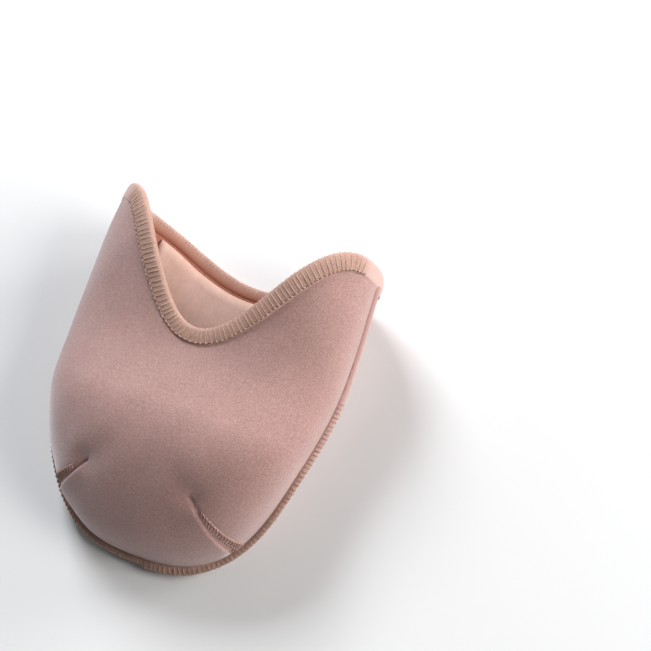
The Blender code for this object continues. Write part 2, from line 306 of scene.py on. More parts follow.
def blendColours(tree, mode, fac, first, second):
    node = tree.nodes.new("ShaderNodeMix")
    node.data_type = "RGBA"
    node.blend_type = mode
    if isinstance(fac, float):
        node.inputs[0].default_value = fac
    else:
        tree.links.new(fac, node.inputs[0])
    for socket, value in ((node.inputs[6], first), (node.inputs[7], second)):
        if isinstance(value, tuple):
            socket.default_value = (*value, 1)
        else:
            tree.links.new(value, socket)
    return node.outputs[2]


def addBump(tree, shader, height, strength, distance, under=None):
    node = tree.nodes.new("ShaderNodeBump")
    node.inputs["Strength"].default_value = strength
    node.inputs["Distance"].default_value = distance
    tree.links.new(height, node.inputs["Height"])
    if under is not None:
        tree.links.new(under, node.inputs["Normal"])
    tree.links.new(node.outputs["Normal"], shader.inputs["Normal"])
    return node.outputs["Normal"]


knitLook = {
    "deep": (0.305, 0.163, 0.140),
    "mid": (0.390, 0.219, 0.192),
    "pale": (0.485, 0.293, 0.265),
    "wale": 0.00046,      # width of a column of stitches
    "course": 0.00040,    # height of a row of stitches
    "sheen": 0.8,
}


def makeKnit(name, look):
    made, tree, shader = newMaterial(name, look["mid"], 0.75, look["sheen"], (1.0, 0.97, 0.99))
    uv = tree.nodes.new("ShaderNodeTexCoord").outputs["UV"]
    split = tree.nodes.new("ShaderNodeSeparateXYZ")
    tree.links.new(uv, split.inputs[0])
    u, v = split.outputs[0], split.outputs[1]
    # each column of the knit is a run of V-shaped loops
    column = mathNode(tree, "DIVIDE", u, look["wale"])
    across = mathNode(tree, "PINGPONG", column, 0.5)
    lean = mathNode(tree, "MULTIPLY", across, look["course"] * 1.6)
    course = mathNode(tree, "DIVIDE", mathNode(tree, "ADD", v, lean), look["course"])
    loops = mathNode(tree, "SINE", mathNode(tree, "MULTIPLY", course, 2 * math.pi))
    valley = mathNode(tree, "SINE", mathNode(tree, "MULTIPLY", across, 2 * math.pi))
    knit = mathNode(tree, "MULTIPLY_ADD", loops, 0.30, mathNode(tree, "MULTIPLY", valley, 0.6))
    coords = tree.nodes.new("ShaderNodeTexCoord").outputs["Object"]
    speckle = noiseNode(tree, coords, 2100, 2.0, 0.7)
    cloudy = noiseNode(tree, coords, 120, 3.0, 0.55)
    grain = rampNode(tree, speckle, [(0.30, look["deep"]), (0.50, look["mid"]), (0.72, look["pale"])])
    soft = rampNode(tree, cloudy, [(0.3, (0.95, 0.94, 0.945)), (0.7, (1.03, 1.02, 1.02))])
    colour = blendColours(tree, "MULTIPLY", 1.0, grain, soft)
    loopTone = rampNode(tree, knit, [(0.0, (0.93, 0.92, 0.92)), (0.8, (1.03, 1.03, 1.03))])
    colour = blendColours(tree, "MULTIPLY", 1.0, colour, loopTone)
    tree.links.new(colour, shader.inputs["Base Color"])
    fuzz = addBump(tree, shader, speckle, 0.35, 0.00012)
    addBump(tree, shader, knit, 0.30, 0.00010, fuzz)
    return made


# the panels' inner faces: a dark orange-red knit, painted shade for the shadowed inside of the pouch
liningShadeLook = {"deep": (0.24, 0.075, 0.04), "mid": (0.33, 0.11, 0.062), "pale": (0.40, 0.155, 0.10), "wale": 0.0005, "course": 0.00042, "sheen": 0.15}
gelLook = {"deep": (0.46, 0.285, 0.225), "mid": (0.51, 0.325, 0.262), "pale": (0.56, 0.37, 0.305)}
threadLook = {"deep": (0.37, 0.215, 0.162), "mid": (0.46, 0.29, 0.228), "pale": (0.55, 0.37, 0.305)}
seamLook = {"deep": (0.31, 0.175, 0.13), "mid": (0.39, 0.235, 0.18), "pale": (0.46, 0.30, 0.24)}
dartLook = {"deep": (0.37, 0.215, 0.175), "mid": (0.46, 0.28, 0.24), "pale": (0.55, 0.36, 0.315)}
# the band's corner colour: partly the plain binding's own paler tone, partly painted highlight
cornerPaleAndHighlight = (0.54, 0.36, 0.32)
# painted shade: the dark orange-red of the band's shadowed inner face
innerBandShade = (0.30, 0.105, 0.06)
bandLook = {"deep": (0.36, 0.205, 0.152), "mid": (0.43, 0.26, 0.200), "pale": (0.50, 0.32, 0.26)}


def makeGel():
    made, tree, shader = newMaterial("beigeGelSheet", gelLook["mid"], 0.6, 0.1)
    shader.inputs["Subsurface Weight"].default_value = 0.18
    shader.inputs["Subsurface Radius"].default_value = (1.0, 0.5, 0.35)
    shader.inputs["Subsurface Scale"].default_value = 0.002
    coords = tree.nodes.new("ShaderNodeTexCoord").outputs["Object"]
    cloudy = noiseNode(tree, coords, 260, 4.0, 0.6)
    fine = noiseNode(tree, coords, 1700, 2.0, 0.6)
    colour = rampNode(tree, cloudy, [(0.15, gelLook["deep"]), (0.5, gelLook["mid"]), (0.85, gelLook["pale"])])
    tone = rampNode(tree, fine, [(0.3, (0.93, 0.93, 0.93)), (0.7, (1.04, 1.04, 1.04))])
    tree.links.new(blendColours(tree, "MULTIPLY", 1.0, colour, tone), shader.inputs["Base Color"])
    under = addBump(tree, shader, fine, 0.25, 0.0001)
    addBump(tree, shader, cloudy, 0.08, 0.0003, under)
    return made


def makeThread(name, look, roughness, scale, cornerColour=None, mouthColour=None):
    made, tree, shader = newMaterial(name, look["mid"], roughness, 0.25, (1.0, 0.88, 0.82))
    coords = tree.nodes.new("ShaderNodeTexCoord").outputs["Object"]
    strands = noiseNode(tree, coords, scale, 3.0, 0.65)
    patches = noiseNode(tree, coords, 240, 2.0, 0.5)
    colour = rampNode(tree, strands, [(0.3, look["deep"]), (0.5, look["mid"]), (0.7, look["pale"])])
    tone = rampNode(tree, patches, [(0.3, (0.9, 0.88, 0.88)), (0.7, (1.05, 1.04, 1.05))])
    colour = blendColours(tree, "MULTIPLY", 1.0, colour, tone)
    # the corners turn paler, partly as painted highlight
    if cornerColour:
        near = addNode(tree, "ShaderNodeAttribute", attribute_name="cornerShare")
        colour = blendColours(tree, "MIX", near.outputs["Fac"], colour, cornerColour)
        # painted shade: the band's inner face turns dark orange-red
        inside = addNode(tree, "ShaderNodeAttribute", attribute_name="innerShadeShare")
        colour = blendColours(tree, "MIX", inside.outputs["Fac"], colour, innerBandShade)
    if mouthColour:
        upSide = addNode(tree, "ShaderNodeAttribute", attribute_name="mouthShare")
        colour = blendColours(tree, "MIX", upSide.outputs["Fac"], colour, mouthColour)
    tree.links.new(colour, shader.inputs["Base Color"])
    addBump(tree, shader, strands, 0.4, 0.0001)
    return made


knitCloth = makeKnit("dustyPinkKnit", knitLook)
# the inner knit's dark orange-red is painted shade
liningShadeCloth = makeKnit("innerKnitPaintedShade", liningShadeLook)
gelSheetFinish = makeGel()
overlockThread = makeThread("overlockThread", threadLook, 0.62, 3000)
bandCloth = makeThread("overlockedBand", bandLook, 0.85, 2200, cornerPaleAndHighlight)
seamCloth = makeThread("flangeThread", seamLook, 0.8, 2200, None, knitLook["pale"])
dartCloth = makeThread("dartThread", dartLook, 0.8, 2200)
# near-black brown strands: painted shade for the gaps between the needle's beads
beadGapShade = makeThread("beadGapShade", {"deep": (0.13, 0.06, 0.04), "mid": (0.19, 0.09, 0.06), "pale": (0.26, 0.13, 0.09)}, 0.6, 3000)
print("materials made")


# ---- mesh helpers ----
def finishPiece(name, bm, materials, smoothAngle=60):
    bmesh.ops.recalc_face_normals(bm, faces=bm.faces[:])
    if bm.calc_volume(signed=True) < 0:
        bmesh.ops.reverse_faces(bm, faces=bm.faces[:])
    mesh = bpy.data.meshes.new(name)
    bm.to_mesh(mesh)
    bm.free()
    mesh.shade_smooth()
    mesh.set_sharp_from_angle(angle=math.radians(smoothAngle))
    for material in materials:
        mesh.materials.append(material)
    piece = bpy.data.objects.new(name, mesh)
    bpy.context.scene.collection.objects.link(piece)
    return piece


def layeredPiece(name, outer, inner, materials, uvRuns):
    # a sheet is extruded into its wall; the inner layer takes the second material
    rows, columns = outer.shape[:2]
    bm = bmesh.new()
    bmesh.ops.create_grid(bm, x_segments=columns - 1, y_segments=rows - 1, size=1)
    sheet = bm.verts[:]
    order = {(round(v.co.x, 6), round(v.co.y, 6)): i for i, v in enumerate(sheet)}
    made = bmesh.ops.extrude_face_region(bm, geom=bm.faces[:], use_keep_orig=True)
    number = {v: i for i, v in enumerate(sheet)}
    innerVerts = set()
    for v in made["geom"]:
        if isinstance(v, bmesh.types.BMVert):
            number[v] = order[(round(v.co.x, 6), round(v.co.y, 6))]
            innerVerts.add(v)
    flatOuter, flatInner = toRow(outer).reshape(-1, 3), toRow(inner).reshape(-1, 3)
    for v, i in number.items():
        v.co = flatInner[i] if v in innerVerts else flatOuter[i]
    uvLayer = bm.loops.layers.uv.new("knitUv")
    flatUv = uvRuns.reshape(-1, 2)
    for f in bm.faces:
        f.material_index = 1 if all(v in innerVerts for v in f.verts) else 0
        for loop in f.loops:
            loop[uvLayer].uv = flatUv[number[loop.vert]]
    return finishPiece(name, bm, materials)


def knitRuns(points):
    # lengths across and along the cloth, for its rows of stitches
    u = np.cumsum(np.linalg.norm(np.diff(points, axis=1, prepend=points[:, :1]), axis=2), axis=1)
    u = u - u[:, u.shape[1] // 2:u.shape[1] // 2 + 1]
    v = np.cumsum(np.linalg.norm(np.diff(points, axis=0, prepend=points[:1]), axis=2), axis=0)
    return np.stack([u, v], -1)


def ringedPiece(name, rings, materials, closed):
    # section rings swept along a path; closed joins the last ring to the first
    count, sides = rings.shape[:2]
    bm = bmesh.new()
    rows = count + 1 if closed else count
    bmesh.ops.create_grid(bm, x_segments=sides, y_segments=rows - 1, size=1)
    flat = toRow(rings)
    for i, v in enumerate(bm.verts[:]):
        row, column = divmod(i, sides + 1)
        v.co = flat[row % count, column % sides]
    bmesh.ops.remove_doubles(bm, verts=bm.verts[:], dist=1e-7)
    if not closed:
        bmesh.ops.holes_fill(bm, edges=[e for e in bm.edges if e.is_boundary], sides=0)
    return finishPiece(name, bm, materials)


def addStrand(bm, centres, aside, radius, sides=6, ends=0.55, slot=0):
    # one short thread along its centres, thinner where it dives into the cloth
    count = len(centres)
    made = bmesh.ops.create_grid(bm, x_segments=sides, y_segments=count - 1, size=0.001)
    along = np.gradient(centres, axis=0)
    along /= np.linalg.norm(along, axis=1, keepdims=True)
    over = np.cross(along, aside)
    over /= np.linalg.norm(over, axis=1, keepdims=True)
    aside = np.cross(over, along)
    size = radius * np.minimum(1, ends + (1 - ends) * np.sin(np.linspace(0, np.pi, count)) * 2.2)
    flat = toRow(centres)
    for i, v in enumerate(made["verts"]):
        row, column = divmod(i, sides + 1)
        turn = 2 * math.pi * (column % sides) / sides
        v.co = flat[row] + (aside[row] * math.cos(turn) + over[row] * math.sin(turn)) * size[row]
    if slot:
        for f in {f for v in made["verts"] for f in v.link_faces}:
            f.material_index = slot


def strandPiece(name, bm, materials):
    bmesh.ops.remove_doubles(bm, verts=bm.verts[:], dist=1e-7)
    filled = bmesh.ops.holes_fill(bm, edges=[e for e in bm.edges if e.is_boundary], sides=0)
    for f in filled["faces"]:
        f.material_index = next(iter(f.edges)).link_faces[0].material_index
    return finishPiece(name, bm, materials, 80)


# ---- darts: where the front panel is taken in at the toe ----
darts = {
    "widthFoot": 0.0054,
    "widthTip": 0.0014,
    "recess": 0.0006,      # the stitched strip lies this deep at the folded edge
    "lip": 0.0005,         # the folded edge on the middle side
    "lipReach": 0.0036,
    "pit": 0.0009,
    "pitReach": 0.0034,
    "valley": 0.0004,      # the pull beyond the tip
    "valleyReach": 0.0075,
    "ribPitch": 0.00125,
    "ribRadius": 0.00021,
}


def dartLine(count):
    n = pouch["outlinePower"]
    foot = np.array([math.sin(footAngle) ** (2 / n), math.cos(footAngle) ** (2 / n)])
    tipXi = pouch["dartTip"][0] / pouch["halfWidth"]
    tipEta = (pouch["toeLength"] - pouch["dartTip"][1]) / pouch["toeLength"]
    tip = chart(np.array(tipXi), np.array(tipEta))
    fine = np.linspace(0, 1, 500)[:, None]
    line = foot * (1 - fine) + tip * fine
    run = runLength(place("front", line))
    at = np.linspace(0, run[-1], count)
    return np.stack([np.interp(at, run, line[:, k]) for k in (0, 1)], -1), run[-1]


dartChart, dartLength = dartLine(60)
dartPoints = place("front", dartChart)
dartNormals = normalsAt("front", dartPoints)
dartAlong = np.gradient(dartPoints, axis=0)
dartAlong /= np.linalg.norm(dartAlong, axis=1, keepdims=True)
dartAcross = np.cross(dartNormals, dartAlong)      # for the right dart this points away from the middle
dartAcross *= np.sign(dartAcross[:, :1].mean())


def dartRelief(points):
    # how far the cloth is pushed out (+) or pulled in (-) round the darts
    height = np.zeros(points.shape[:2])
    for side in (1, -1):
        p = points * np.array([side, 1, 1])
        best = np.full(points.shape[:2], 1e9)
        index = np.zeros(points.shape[:2], int)
        for k in range(len(dartPoints)):
            d = np.linalg.norm(p - dartPoints[k], axis=-1)
            closer = d < best
            best = np.where(closer, d, best)
            index = np.where(closer, k, index)
        offset = p - dartPoints[index]
        away = (offset * dartAcross[index]).sum(-1)
        share = index / (len(dartPoints) - 1)
        beyond = np.clip((offset * dartAlong[-1]).sum(-1), 0, None) * (share > 0.99)
        half = (darts["widthFoot"] * (1 - share) + darts["widthTip"] * share) / 2
        fade = np.exp(-((beyond / 0.0012) ** 2))
        across = np.clip(away / half, -1, 1)
        inner = 1 / (1 + np.exp(-(away + half) / 0.00010))
        outer = 1 / (1 + np.exp((away - half) / 0.00035))
        depth = darts["recess"] * (0.5 - 0.5 * across) * (0.7 + 0.5 * share) + 0.00012 * (1 - across)
        height -= depth * inner * outer * fade
        lip = np.where(away < -half, 1, 0) * np.exp(-(((away + half) / darts["lipReach"]) ** 2))
        height += darts["lip"] * lip * fade * (1 - 0.4 * share)
        tip = np.linalg.norm(p - dartPoints[-1], axis=-1)
        height -= darts["pit"] * np.exp(-((tip / darts["pitReach"]) ** 2))
        ahead = p - dartPoints[-1] - dartAlong[-1] * darts["valleyReach"] * 0.7
        lengthwise = (ahead * dartAlong[-1]).sum(-1)
        sideways = (ahead * dartAcross[-1]).sum(-1)
        height -= darts["valley"] * np.exp(-((lengthwise / darts["valleyReach"]) ** 2) - (sideways / 0.004) ** 2)
    return height


# ---- front and sole panels ----
panels = {"frontColumns": 221, "frontRows": 177, "backColumns": 91, "backRows": 71, "slack": 0.0002}


def softSlack(points, amount):
    # the slight unevenness of cloth over gel
    x, t, z = points[..., 0], points[..., 1], points[..., 2]
    wave = np.sin(x * 210 + 1.3) * np.sin(t * 170 + 0.4) + 0.6 * np.sin(x * 390 - t * 260 + 2.0)
    return amount * wave * 0.5


slackCloth = {"columns": 45, "rows": 37, "frames": 20, "pressure": 0.6, "most": 0.0006, "dartReach": 0.006}


def relaxedSlack(q, pinned):
    # a cloth sheet pinned at its seams shows how the padded knit puffs out between them
    rows, columns = q.shape[:2]
    on = place("front", q)
    bm = bmesh.new()
    bmesh.ops.create_grid(bm, x_segments=columns - 1, y_segments=rows - 1, size=1)
    for v, spot in zip(bm.verts[:], toRow(on).reshape(-1, 3) * 10):
        v.co = spot
    mesh = bpy.data.meshes.new("slackCloth")
    bm.to_mesh(mesh)
    bm.free()
    sheet = bpy.data.objects.new("slackCloth", mesh)
    bpy.context.scene.collection.objects.link(sheet)
    group = sheet.vertex_groups.new(name="pinned")
    group.add([int(i) for i in np.flatnonzero(pinned.ravel())], 1.0, "REPLACE")
    cloth = sheet.modifiers.new("slack", "CLOTH")
    cloth.settings.quality = 6
    cloth.settings.vertex_group_mass = "pinned"
    cloth.settings.use_pressure = True
    cloth.settings.uniform_pressure_force = slackCloth["pressure"]
    cloth.settings.bending_stiffness = 2.0
    cloth.settings.effector_weights.gravity = 0
    cloth.collision_settings.use_collision = False
    cloth.point_cache.frame_end = slackCloth["frames"]
    for frameNumber in range(1, slackCloth["frames"] + 1):
        bpy.context.scene.frame_set(frameNumber)
    settled = sheet.evaluated_get(bpy.context.evaluated_depsgraph_get())
    spots = np.array([v.co for v in settled.data.vertices]).reshape(rows, columns, 3) / 10
    bpy.data.objects.remove(sheet, do_unlink=True)
    bpy.context.scene.frame_set(1)
    moved = ((spots - toRow(on)) * normalsAt("front", on)).sum(-1)
    print("cloth slack, mm:", round(float(moved.min()) * 1000, 2), "to", round(float(moved.max()) * 1000, 2))
    return moved * min(1.0, slackCloth["most"] / max(float(np.abs(moved).max()), 1e-9))


def resampled(grid, rows, columns):
    r = np.linspace(0, grid.shape[0] - 1, rows)
    c = np.linspace(0, grid.shape[1] - 1, columns)
    down = np.stack([np.interp(r, np.arange(grid.shape[0]), grid[:, k]) for k in range(grid.shape[1])], 1)
    return np.stack([np.interp(c, np.arange(grid.shape[1]), row) for row in down])


def frontSlack(rows, columns):
    rim = evenRim("front", pouch["frontDip"], slackCloth["columns"])
    top = slide("front", rim, -rimWays("front", rim), edgingWidth("front", slackCloth["columns"]))
    top[0] = (-1, top[0, 1])
    top[-1] = (1, top[-1, 1])
    q = panelChart(top, 1, slackCloth["rows"])
    on = place("front", q)
    pinned = np.zeros(q.shape[:2], bool)
    pinned[0] = pinned[-1] = True
    pinned[:, 0] = pinned[:, -1] = True
    for side in (1, -1):
        p = on * np.array([side, 1, 1])
        for spot in dartPoints[::3]:
            pinned |= np.linalg.norm(p - spot, axis=-1) < 0.0016
    slack = relaxedSlack(q, pinned)
    for _ in range(3):
        slack[1:-1, 1:-1] = (slack[1:-1, 1:-1] * 2 + slack[:-2, 1:-1] + slack[2:, 1:-1] + slack[1:-1, :-2] + slack[1:-1, 2:]) / 6
    return resampled(slack, rows, columns)


def awayFromDarts(points):
    near = np.full(points.shape[:2], 1e9)
    for side in (1, -1):
        p = points * np.array([side, 1, 1])
        for spot in dartPoints[::3]:
            near = np.minimum(near, np.linalg.norm(p - spot, axis=-1))
    return 1 - np.exp(-((near / slackCloth["dartReach"]) ** 2))


def makePanel(name, face, dip, columns, rows, node):
    rim = evenRim(face, dip, columns)
    top = slide(face, rim, -rimWays(face, rim), edgingWidth(face, columns) - 0.0004)
    top[0] = (-1, top[0, 1])
    top[-1] = (1, top[-1, 1])
    q = panelChart(top, 1, rows)
    on = place(face, q)
    n = normalsAt(face, on)
    lift = 0
    if face == "front":
        seamFade = ease((on[..., 2] - seamHeight(on[..., 1])) / 0.004)
        puff = frontSlack(rows, columns) * awayFromDarts(on)
        lift = (dartRelief(on) + softSlack(on, panels["slack"]) + puff) * seamFade
        on = on + n * lift[..., None]
    inner = on - n * pouch["wall"]
    if face == "back":
        inner[..., 2] = np.minimum(inner[..., 2], seamHeight(on[..., 1]))
    piece = layeredPiece(name, on, inner, [knitCloth, liningShadeCloth], knitRuns(on))
    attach(piece, "root")
    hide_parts(node)
    return piece


makePanel("frontKnitPanel", "front", pouch["frontDip"], panels["frontColumns"], panels["frontRows"], "front_panel")
makePanel("soleKnitPanel", "back", pouch["backDip"], panels["backColumns"], panels["backRows"], "back_panel")
print("panels made")


# ---- gel sheet ----
gelSheet = {"share": 0.84, "thickness": 0.0018, "belowRim": 0.0054, "columns": 61, "rows": 51, "edgeRound": 0.0012}


def makeGelSheet():
    rim = evenRim("back", pouch["backDip"], 401)
    top = slide("back", rim, -rimWays("back", rim), gelSheet["belowRim"])
    edge = place("back", top)
    kept = top[np.abs(edge[:, 0]) <= gelSheet["share"] * halfWidth(edge[:, 1])]
    at = np.linspace(0, len(kept) - 1, gelSheet["columns"])
    top = np.stack([np.interp(at, np.arange(len(kept)), kept[:, k]) for k in (0, 1)], -1)
    top[-1, 0] = chart(np.array(gelSheet["share"]), np.array(-0.1))[0]
    top[0, 0] = -top[-1, 0]
    on = place("back", panelChart(top, gelSheet["share"], gelSheet["rows"]))
    n = normalsAt("back", on)
    border = np.full(on.shape[:2], 1e9)
    rimPoints = np.concatenate([on[0], on[-1], on[:, 0], on[:, -1]])
    for spot in rimPoints:
        border = np.minimum(border, np.linalg.norm(on - spot, axis=-1))
    rounded = np.sqrt(np.clip(border / gelSheet["edgeRound"], 0, 1))
    floor = pouch["wall"] + pouch["clearance"]
    low = on - n * floor
    high = on - n * (floor + gelSheet["thickness"] * (0.45 + 0.55 * rounded))[..., None]
    high = high + n * (softSlack(on, 0.00018))[..., None]
    piece = layeredPiece("innerGelSheet", high, low, [gelSheetFinish, gelSheetFinish], knitRuns(on))
    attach(piece, "root")
    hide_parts("gel_sheet")


makeGelSheet()
print("gel sheet made")


# ---- mouth edging ----
edging = {
    "stations": 640,
    "bandColumns": 300,
    "proud": 0.00042,
    "pitch": 0.00147,       # one overlock stitch to the next
    "threadRadius": 0.00018,
    "slant": 0.0006,
    "beadAt": 0.93,         # share of the width where the needle's stitches run
    "beadRadius": 0.00024,
    "smoothCorner": (0.0135, 0.0085), # the band is plain this far from the left and the right corner
    "cornerSlim": 0.35,
}


def mouthStations():
    shares = np.linspace(0, 1.12, 9)
    grids, normalGrids, ways, widths = [], [], [], []
    for face, dip in (("front", pouch["frontDip"]), ("back", pouch["backDip"])):
        count = edging["stations"] // 2 + 1
        rim = evenRim(face, dip, count)
        way = rimWays(face, rim)
        width = edgingWidth(face, count)
        rows = [rim] + [slide(face, rim, -way, width * share) for share in shares[1:]]
        points = np.stack([place(face, q) for q in rows], 1)
        normals = np.stack([normalsAt(face, points[:, k]) for k in range(len(shares))], 1)
        if face == "back":
            points, normals, way, width = points[::-1], normals[::-1], way[::-1], width[::-1]
        grids.append(points[:-1])
        normalGrids.append(normals[:-1])
        ways.append(way[:-1])
        widths.append(width[:-1, 0])
    return shares, np.concatenate(grids), np.concatenate(normalGrids), np.concatenate(ways), np.concatenate(widths)


bandShares, bandGrid, bandNormals, bandWays, bandWidths = mouthStations()
bandRun = runLength(np.concatenate([bandGrid[:, 4], bandGrid[:1, 4]]))
cornerRuns = (0.0, bandRun[edging["stations"] // 2], bandRun[-1])
onFloor = ease(bandGrid[:, :, 2] / 0.004)


def bandPoint(run, share, height):
    # a point on the band: run along the mouth, share of the width below the rim, height over the cloth's outer face
    station = np.interp(run % bandRun[-1], bandRun, np.arange(len(bandRun)))
    a = int(station) % len(bandGrid)
    b = (a + 1) % len(bandGrid)
    f = station - int(station)
    depth = min(max(share, 0), bandShares[-1])
    k = min(int(depth / bandShares[1]), len(bandShares) - 2)
    g = depth / bandShares[1] - k

    def mixed(grid):
        low = (1 - f) * grid[a, k] + f * grid[b, k]
        high = (1 - f) * grid[a, k + 1] + f * grid[b, k + 1]
        return (1 - g) * low + g * high

    point, normal, rest = mixed(bandGrid), mixed(bandNormals), mixed(onFloor)
    way = (1 - f) * bandWays[a] + f * bandWays[b]
    lifted = height * rest if height > 0 else height
    width = (1 - f) * bandWidths[a] + f * bandWidths[b]
    return point + normal * lifted - way * min(share, 0) * width, normal


def bandAlong(run):
    before, _ = bandPoint(run - 0.0004, 0.5, 0)
    after, _ = bandPoint(run + 0.0004, 0.5, 0)
    return (after - before) / np.linalg.norm(after - before)


def cornerReach(run):
    # run left to the plain stretch at each corner, as a share of that stretch
    left = min(abs(run - cornerRuns[0]), abs(run - cornerRuns[2])) / edging["smoothCorner"][0]
    return min(left, abs(run - cornerRuns[1]) / edging["smoothCorner"][1])


def slimmed(height, slim):
    wall = pouch["wall"]
    if height < -wall:
        return (height + wall) * slim - wall
    return height * slim if height > 0 else height


def makeMouthBand():
    wall, proud = pouch["wall"], edging["proud"]
    section = [
        (1.06, -0.0003), (1.0, 0.55 * proud), (0.88, 0.85 * proud), (0.7, proud), (0.45, proud * 1.05), (0.22, 0.95 * proud),
        (0.07, 0.5 * proud), (0.0, -0.0002), (-0.02, -wall / 2), (0.0, -wall + 0.0002), (0.07, -wall - 0.5 * proud),
        (0.22, -wall - 0.95 * proud), (0.5, -wall - proud), (0.8, -wall - 0.9 * proud), (1.0, -wall - 0.5 * proud),
        (1.07, -wall + 0.0003), (1.1, -wall / 2),
    ]
    rings = []
    for k in range(edging["bandColumns"]):
        run = bandRun[-1] * k / edging["bandColumns"]
        slim = 1 - edging["cornerSlim"] * (1 - float(ease(cornerReach(run))))
        rings.append([bandPoint(run, share, slimmed(height, slim))[0] for share, height in section])
    rings = np.array(rings)
    piece = ringedPiece("mouthBand", rings, [bandCloth], True)
    # the corners are bound smooth and paler, the paler colour partly their own and partly painted highlight; a vertex
    # attribute says how near each point is
    smoothness = piece.data.attributes.new("cornerShare", "FLOAT", "POINT")
    corners = [toRow(bandPoint(run, 0.5, 0)[0]) for run in cornerRuns[:2]]
    # the band's inner face toward the cloth is tinted dark orange-red as painted shade along the shadowed inside of
    # the mouth
    inner = piece.data.attributes.new("innerShadeShare", "FLOAT", "POINT")
    insideShade = np.tile([0] * 11 + [0.1, 0.5, 0.95, 1, 1, 1], (edging["bandColumns"], 1)).ravel()
    ringPoints = toRow(rings).reshape(-1, 3)
    for v in piece.data.vertices:
        spot = np.array(v.co)
        near = [np.linalg.norm(spot - c) - 0.75 * reach for c, reach in zip(corners, edging["smoothCorner"])]
        smoothness.data[v.index].value = float(1 - ease(min(near) / 0.0050))
        inner.data[v.index].value = float(insideShade[np.argmin(((ringPoints - spot) ** 2).sum(1))])
    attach(piece, "root")
    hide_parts("mouth_edging")


def makeMouthThreads():
    rng = np.random.default_rng(11)
    wall, proud, lean = pouch["wall"], edging["proud"], edging["slant"]
    count = int(bandRun[-1] / edging["pitch"])
    path = [
        (1.0, 0.0, -1.0), (0.9, proud * 0.75, -0.85), (0.55, proud + 0.00006, -0.3), (0.16, proud * 0.85, 0.2),
        (-0.03, -wall * 0.3, 0.5), (0.12, -wall - proud * 0.7, 0.7), (0.5, -wall - proud - 0.00004, 0.9), (0.95, -wall - proud * 0.6, 1.0),
    ]
    bm = bmesh.new()
    for k in range(count):
        run = bandRun[-1] * (k + rng.uniform(-0.12, 0.12)) / count
        reach = 1 + rng.uniform(-0.03, 0.03)
        size = rng.uniform(0.85, 1.12)
        if cornerReach(run) < 1:
            continue
        # on the back edge the stitches reach less far down the inside
        deep = 0.6 if run > cornerRuns[1] else 1.0
        centres = np.array([
            bandPoint(run + lean * 0.5 * shift, share * reach * (deep if height < -wall else 1), height)[0]
            for share, height, shift in path
        ])
        addStrand(bm, centres, np.tile(bandAlong(run), (len(path), 1)), edging["threadRadius"] * size, 5)
        # the needle's thread: a pale bead on the stitch, then a dark strand before the next that is painted shade for
        # the gap between beads
        at = edging["beadAt"] + rng.uniform(-0.015, 0.015)
        for start, length, radius, lift, slot in ((-0.28, 0.56, edging["beadRadius"], 0.00050, 0), (0.33, 0.34, 0.00024, 0.00050, 1)):
            spots = [bandPoint(run + edging["pitch"] * (start + length * f), at, h)[0] for f, h in ((0, 0.0001), (0.3, lift), (0.7, lift), (1, 0.0001))]
            _, normal = bandPoint(run, at, 0)
            addStrand(bm, np.array(spots), np.tile(normal, (4, 1)), radius * size, 5, 0.6, slot)
    piece = strandPiece("mouthOverlock", bm, [overlockThread, beadGapShade])
    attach(piece, "root")


makeMouthBand()
makeMouthThreads()
print("mouth edging made")


# ---- side seam ----
flange = {
    "columns": 260,
    "width": (0.0013, 0.0008),      # at the toe, at the mouth
    "thickness": (0.0020, 0.0015),
    "drop": (0.0006, 0.0010),
    "pitch": 0.00147,
    "threadRadius": 0.00016,
    "overlapFrom": 0.0035,          # right of the middle, where the overlock's end runs over its start
    "overlapThick": 0.0006,
    "tuck": 0.0008,                 # its ends run under the mouth band
    "ribsUpTo": 0.062,              # beyond this the cloth lies over the stitches
}


def flangeLine(count):
    topEta = (pouch["toeLength"] - (pouch["cornerAt"] - bandWidth["corner"] + flange["tuck"])) / pouch["toeLength"]
    right = sideRun(0.0, topEta, 1, count)
    p = place("front", np.concatenate([(right * mirrorX)[::-1], right[1:]]))
    n = normalsAt("front", p)
    n[:, 2] = 0
    return p, n / np.linalg.norm(n, axis=1, keepdims=True)


flangePoints, flangeOut = flangeLine(400)
flangeRun = runLength(flangePoints)


def flangePoint(run, out, up):
    # out and up are shares of the flange's own width and half thickness there
    point = np.array([np.interp(run, flangeRun, flangePoints[:, k]) for k in range(3)])
    away = np.array([np.interp(run, flangeRun, flangeOut[:, k]) for k in range(3)])
    away /= np.linalg.norm(away)
    share = ease((point[1] - 0.045) / 0.045)
    width, thickness, drop = (flange[key][0] * (1 - share) + flange[key][1] * share for key in ("width", "thickness", "drop"))
    overlap = 0.0
    if point[1] < 0.02:
        overlap = ease((point[0] - flange["overlapFrom"]) / 0.0009) * (1 - ease((point[0] - 0.014) / 0.012))
        overlap *= flange["overlapThick"]
    return point + away * (out * (width + 0.0003 + overlap)) + np.array([0, 0, up * (thickness + overlap) / 2 - drop])


def makeFlange():
    section = [
        (-0.15, 0.9), (-0.15, -0.6), (0.12, -0.9), (0.4, -1.0), (0.75, -0.9), (0.94, -0.5),
        (1.0, -0.05), (0.92, 0.42), (0.7, 0.78), (0.4, 1.0), (0.1, 1.2),
    ]
    rings = []
    for k in range(flange["columns"]):
        run = flangeRun[-1] * k / (flange["columns"] - 1)
        rings.append([flangePoint(run, out, up) for out, up in section])
    piece = ringedPiece("sideFlange", np.array(rings), [seamCloth], False)
    shareUp = piece.data.attributes.new("mouthShare", "FLOAT", "POINT")
    for v in piece.data.vertices:
        shareUp.data[v.index].value = float(ease((v.co.y + originAt - 0.030) / 0.040))
    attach(piece, "root")
    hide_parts("side_seam")


